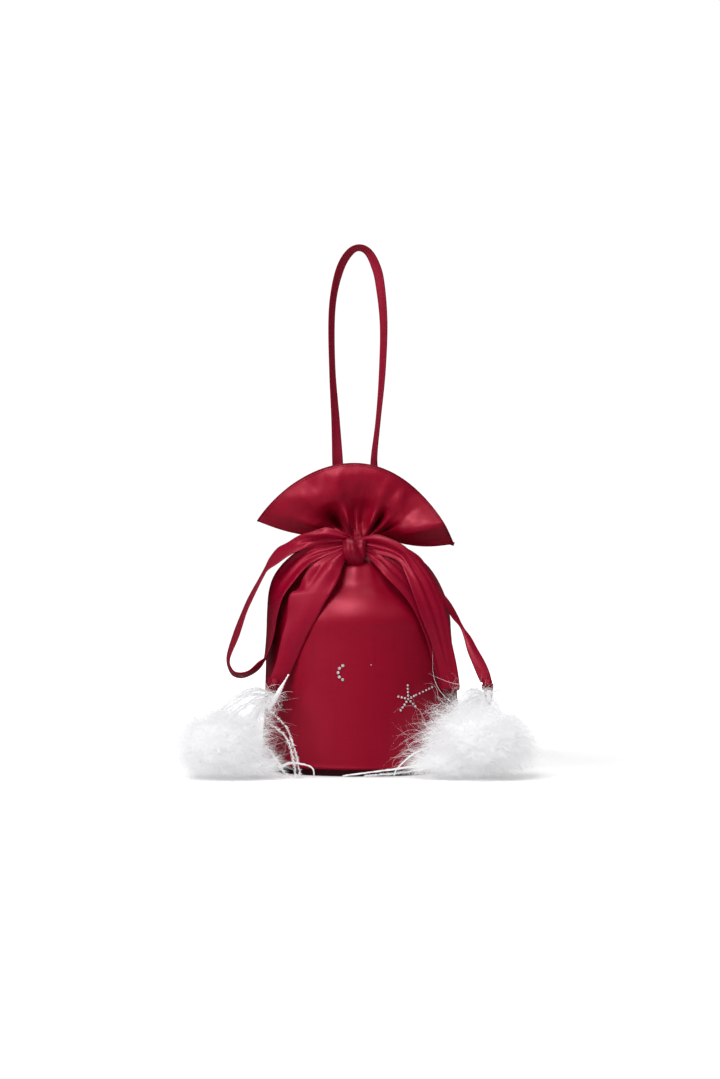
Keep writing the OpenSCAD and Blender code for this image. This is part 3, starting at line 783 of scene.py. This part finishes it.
def makePlume(side):
    spec, shape = plumes[side], plumeShape
    rng = random.Random(spec["seed"])
    tie = Vector(spec["tie"])

    def anyWay(spread=1.0):
        return Vector((rng.gauss(0, spread), rng.gauss(0, spread), rng.gauss(0, spread)))

    def inBunch(share):
        way = anyWay().normalized()
        centre, radius, _ = spec["lobes"][0 if rng.random() < spec["lobes"][0][2] else 1]
        return way, Vector(centre) + Vector([a * b for a, b in zip(way, radius)]) * share

    def newCurve(name):
        curve = bpy.data.curves.new(name, "CURVE")
        curve.dimensions = "3D"
        curve.extrude = 0.0005
        return curve

    shafts, barbs, down = newCurve("shafts"), newCurve("barbs"), newCurve("down")
    for _ in range(shape["quills"]):
        way, end = inBunch(rng.uniform(0.4, 0.72))
        bend = blendOf(tie, end, 0.45) + Vector((0, -6, 10)) + way * 6
        points = [tie, blendOf(tie, bend, 0.7), blendOf(bend, end, 0.45), end]
        stem = shafts.splines.new("POLY")
        stem.points.add(14)
        for i, point in enumerate(stem.points):
            at = through(points, i / 14)
            at.z = max(at.z, 1.5)
            point.co = (*(at * millimetre), 1)
            point.radius = 0.9 - 0.7 * i / 14
        for j in range(shape["barbs"]):
            t = 0.12 + 0.88 * (j + rng.random()) / shape["barbs"]
            at = through(points, t)
            at.z = max(at.z, 1.5)
            along = (through(points, min(1, t + 0.03)) - through(points, t - 0.03)).normalized()
            off = along.cross(anyWay()).normalized()
            heading = off * 0.9 + along * 0.5 + way * 0.15
            size = rng.uniform(*shape["barbMm"]) * (0.6 + 0.5 * t)
            heading.z *= 0.6
            strand(barbs, at, heading, size, rng.uniform(0.8, 5.0), rng.uniform(0.2, 1.3),
                rng.uniform(0.12, 0.28), 8, rng)
    for k in range(shape["down"]):
        way, at = inBunch(rng.uniform(0.3, 0.8) ** 0.6)
        at.z = max(at.z, 1.0)
        heading = way * 0.8 + anyWay(0.8)
        heading.z *= 0.7
        strand(down, at, heading, rng.uniform(*shape["downMm"]), rng.uniform(0.8, 4.5), 0.4,
            rng.uniform(0.08, 0.2), 5, rng)
    # long fine hairs that leave the bunch and curl back
    for k in range(spec["wisps"]):
        way, at = inBunch(rng.uniform(0.6, 0.95))
        at.z = max(at.z, 1.0)
        heading = way * 0.8 + anyWay(0.55) + Vector((0, 0, 0.25))
        strand(barbs, at, heading, rng.uniform(12, 38), rng.uniform(1.5, 9.0), rng.uniform(-0.8, 2.4),
            rng.uniform(0.08, 0.18), 18, rng)
    # tight curls near the tie, and a few hairs that reach far across the sack
    middle, size, count = spec["curls"]
    for k in range(count):
        at = Vector(middle) + Vector([a * b * 0.6 for a, b in zip(anyWay(), size)])
        strand(barbs, at, anyWay(), rng.uniform(10, 24), rng.uniform(5.0, 12.0), rng.uniform(-2, 1),
            rng.uniform(0.1, 0.2), 18, rng)
    middle, toward, count, lengths = spec["long"]
    for k in range(count):
        at = Vector(middle) + Vector([a * b for a, b in zip(anyWay(), (4, 5, 10))])
        heading = Vector((toward, rng.gauss(0, 0.12), rng.gauss(0.05, 0.32)))
        strand(barbs, at, heading, rng.uniform(*lengths), rng.uniform(0.3, 2.2), rng.uniform(-0.3, 0.8),
            rng.uniform(0.12, 0.22), 18, rng)
    # strands that fall out of the bunch to the floor, with short tufts all round
    for falls in spec["falls"]:
        line = [Vector(p) for p in falls]
        for j in range(shape["tufts"]):
            t = (j + rng.random()) / shape["tufts"]
            at = through(line, t)
            along = (through(line, min(1, t + 0.03)) - through(line, max(0, t - 0.03))).normalized()
            heading = along.cross(anyWay()).normalized() + along * 0.9
            strand(barbs, at, heading, rng.uniform(1.2, 2.6), rng.uniform(0.5, 2.5), 0.3,
                rng.uniform(0.3, 0.5), 4, rng)
    for trail in spec["trails"]:
        line = [Vector(p) for p in trail]
        for k in range(3):
            start = line[0] + anyWay(0.6)
            spline = barbs.splines.new("POLY")
            spline.points.add(24)
            for i, point in enumerate(spline.points):
                at = through(line, i / 24) + anyWay(0.12) + (start - line[0]) * (1 - i / 24)
                point.co = (*[c * millimetre for c in (at.x, at.y, max(at.z, 0.6))], 1)
                point.radius = 0.7
    bm = bmesh.new()
    for centre, radius, _ in spec["lobes"]:
        ball = bmesh.ops.create_icosphere(bm, subdivisions=5, radius=1.0)["verts"]
        for vert in ball:
            way = vert.co.copy()
            swell = 0.62 + 0.12 * drift(way.x * 2.2, way.y * 2.2, way.z * 2.2 + spec["seed"])
            swell += 0.07 * drift(way.x * 9, way.y * 9, way.z * 9)
            at = Vector(centre) + Vector([a * b for a, b in zip(way, radius)]) * swell
            vert.co = Vector((at.x, at.y, max(at.z, 1.0))) * millimetre
    core = finishMesh(side + "PlumeCore", bm, downWhitePaintedGlow)
    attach(core, spec["body"])
    made = [meshOfCurve(side + "Plume" + name, curve, downWhitePaintedGlow)
        for name, curve in (("Shafts", shafts), ("Barbs", barbs), ("Down", down))]
    for piece in made:
        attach(piece, spec["body"])
    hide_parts("plume_" + side)
    return made


# the bound end of a feather: white thread wound round the quills, thin at its tip
def boundStem(name, start, end, body):
    steps = 60
    made = tube(name, [blendOf(start, end, i / steps) for i in range(steps + 1)], 0.001, downWhitePaintedGlow, sides=3)
    axis = (end - start).normalized()
    for vert in made.data.vertices:
        t = (vert.co - start).dot(axis) / (end - start).length
        centre = blendOf(start, end, t)
        vert.co = centre + (vert.co - centre) * (0.45 + 1.0 * ramp(t, 0.1, 0.5) + 0.14 * math.sin(t * 75))
    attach(made, body)


boundStem("stemLeft", mm(-46.3, -54, 63.4), mm(-58.5, -59, 41.9), "plume_left")
boundStem("stemRight", mm(80, -44, 58), mm(80.5, -48, 46), "plume_right")
# Each plume is bound with turns of cord round a gathered tongue of cloth, which hangs just in front of the
# tail's end.
plumeTies = {
    "left": {
        "at": (-56, -52.8),
        "tongue": [((-59.4, -51.8, 61), (-52.4, -51.8, 60)), ((-58.6, -52.6, 56), (-53.4, -52.6, 56)),
            ((-58, -53, 50), (-54.4, -53, 50))]},
    "right": {
        "at": (79.6, -44.8),
        "tongue": [((75.4, -43.4, 60), (82.4, -43.4, 59)), ((77, -44.6, 55.5), (82.6, -44.6, 55.2)),
            ((77.4, -45, 50.5), (82.6, -45, 50.5)), ((78.6, -45, 46.6), (82.1, -45, 46.8)),
            ((80.4, -45, 43.6), (81.3, -45, 43.4))]},
}
for side, spec in plumeTies.items():
    x, y = spec["at"]
    turns = [mm(x + 3.2 * math.cos(i * 0.3), y + 2.3 * math.sin(i * 0.3), 53.4 + 3.2 * i / 84) for i in range(85)]
    cord = tube(side + "PlumeTie", turns, 0.0006, satinEdgePaintedShade, sides=2)
    tongue = bandCloth(side + "TailTongue", spec["tongue"], 10, 24, satinSash,
        lambda u, v: 0.5 * math.cos(u * 9))[0]
    for piece in (cord, tongue):
        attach(piece, "plume_" + side)
    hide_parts("plume_tie_" + side)

for side in plumes:
    made = makePlume(side)
    print(side, "plume", [len(o.data.polygons) for o in made])


# The covered base: strip cloth turned round the board, painted near-black for the shade under the hem, and the
# cloth drawn in at the neck.
coverProfile = [Vector(p) for p in (
    (0.2, 0.1), (30, 0.1), (58, 0.1), (64.6, 0.15), (65.1, 0.8), (65.2, 2.2), (65.2, 3.8), (64.5, 4.1),
    (63.9, 3.9))]


def coverPoint(u, v):
    at = through(coverProfile, v)
    return mm(at.x * math.sin(2 * math.pi * u), -at.x * math.cos(2 * math.pi * u), at.y)


def neckPoint(u, v):
    turn = 2 * math.pi * u
    pleats = 0.5 * math.cos(19 * turn + 2 * drift(math.cos(turn), math.sin(turn), v * 2))
    r = 8.0 + 2.6 * abs(2 * v - 1) ** 2.5 + pleats
    return mm(-1.5 + r * math.sin(turn), -r * math.cos(turn), blendOf(140.4, 150.6, v))


coverCloth = clothGrid("baseStrip", 192, 32, coverPoint, (2 * math.pi * 65, 72), stripClothPaintedShade, closed=True)
neckCloth = clothGrid("neckCloth", 190, 16, neckPoint, (50, 12), satinRed, closed=True, thick=0.0007)
for piece, node, slot in ((coverCloth, "base_cover", "satin_dark"), (neckCloth, "neck_gather", "satin")):
    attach(piece, "sack")
    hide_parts(node)

# the base board is the CAD's own, in grey board
nodes["base_board"].data.materials.clear()
nodes["base_board"].data.materials.append(greyBoard)
print("base covered")


# Studio: pale floor, white backdrop behind, soft boxes above and in front.
studio = {
    "cameraAt": mm(-1.3, -1800, 148.5), "lens": 92.4,
    "key": {"at": (-0.35, -1.0, 1.4), "size": 0.6, "power": 18.5},
    "front": {"at": (-0.5, -1.7, 0.7), "size": 0.8, "power": 4.5},
    "left": {"at": (-1.3, -0.9, 0.9), "size": 0.6, "power": 9.0},
    "right": {"at": (0.9, -1.0, 1.1), "size": 0.8, "power": 2.0},
    "top": {"at": (0.0, 0.5, 1.6), "size": 1.2, "power": 12.0},
}
cameraData = bpy.data.cameras.new("camera")
cameraData.lens = studio["lens"]
cameraData.clip_start, cameraData.clip_end = 0.01, 50
camera = bpy.data.objects.new("camera", cameraData)
camera.location = studio["cameraAt"]
camera.rotation_euler = (math.pi / 2, 0, 0)
bpy.context.scene.collection.objects.link(camera)
bpy.context.scene.camera = camera

# the front lamp only fills, so it doesn't show in the cloth's gloss
for name in ("key", "front", "left", "right", "top"):
    spec = studio[name]
    lamp = bpy.data.lights.new(name, "AREA")
    lamp.shape = "DISK"
    lamp.size, lamp.energy = spec["size"], spec["power"]
    lampObject = bpy.data.objects.new(name, lamp)
    lampObject.location = spec["at"]
    lampObject.rotation_euler = (mm(0, 0, 120) - Vector(spec["at"])).to_track_quat("-Z", "Y").to_euler()
    lampObject.visible_glossy = name != "front"
    bpy.context.scene.collection.objects.link(lampObject)

world = bpy.data.worlds.new("studio")
bpy.context.scene.world = world
world.use_nodes = True
sky = world.node_tree
ray = add(sky, "LightPath")
seen = add(sky, "MapRange", {"To Min": 0.05, "To Max": 1.05}, {"Value": ray.outputs["Is Camera Ray"]})
strength = add(sky, "Math", {"operation": "MULTIPLY_ADD", 1: 0.01},
    {0: ray.outputs["Is Diffuse Ray"], 2: seen.outputs[0]})
sky.links.new(strength.outputs[0], sky.nodes["Background"].inputs["Strength"])
sky.nodes["Background"].inputs["Color"].default_value = (1, 1, 1, 1)

bm = bmesh.new()
bmesh.ops.create_circle(bm, cap_ends=True, segments=64, radius=6.0)
paper, paperTree, paperShader = newMaterial("whitePaper", {"Base Color": linear("#F4F4F4"), "Roughness": 0.9,
    "Specular IOR Level": 0.0, "Emission Color": (1, 1, 1, 1)})
# the paper carries a painted glow that grows the further it runs back, as a lit cove would look; the camera sees
# all of it and the sack is lit by a share of it
spread = add(paperTree, "VectorMath", {"operation": "LENGTH"}, {0: add(paperTree, "TexCoord").outputs["Object"]})
glow = add(paperTree, "MapRange", {"From Min": 0.16, "From Max": 0.8, "To Min": 0.12, "To Max": 1.0},
    {"Value": spread.outputs["Value"]})
ray = add(paperTree, "LightPath")
share = add(paperTree, "Math", {"operation": "MULTIPLY_ADD", 1: 0.3},
    {0: ray.outputs["Is Diffuse Ray"], 2: ray.outputs["Is Camera Ray"]})
shownGlow = add(paperTree, "Math", {"operation": "MULTIPLY"}, {0: glow.outputs[0], 1: share.outputs[0]})
paperTree.links.new(shownGlow.outputs[0], paperShader.inputs["Emission Strength"])
# seen in the cloth's gloss the paper has no glow and is painted dark grey, a painted shade that keeps it out of the
# satin's reflections
shade = add(paperTree, "Mix", {"data_type": "RGBA", 6: linear("#F4F4F4"), 7: linear("#4A4A4A")},
    {0: ray.outputs["Is Glossy Ray"]})
paperTree.links.new(shade.outputs[2], paperShader.inputs["Base Color"])
grain = add(paperTree, "TexNoise", {"Scale": 900.0})
relief = add(paperTree, "Bump", {"Strength": 0.05, "Distance": 0.0002}, {"Height": grain.outputs["Fac"]})
paperTree.links.new(relief.outputs[0], paperShader.inputs["Normal"])
floor = finishMesh("floor", bm, paper, smooth=False)
floor.location.z = -0.0002
bpy.context.scene.view_settings.view_transform = "Standard"
print("studio lit")
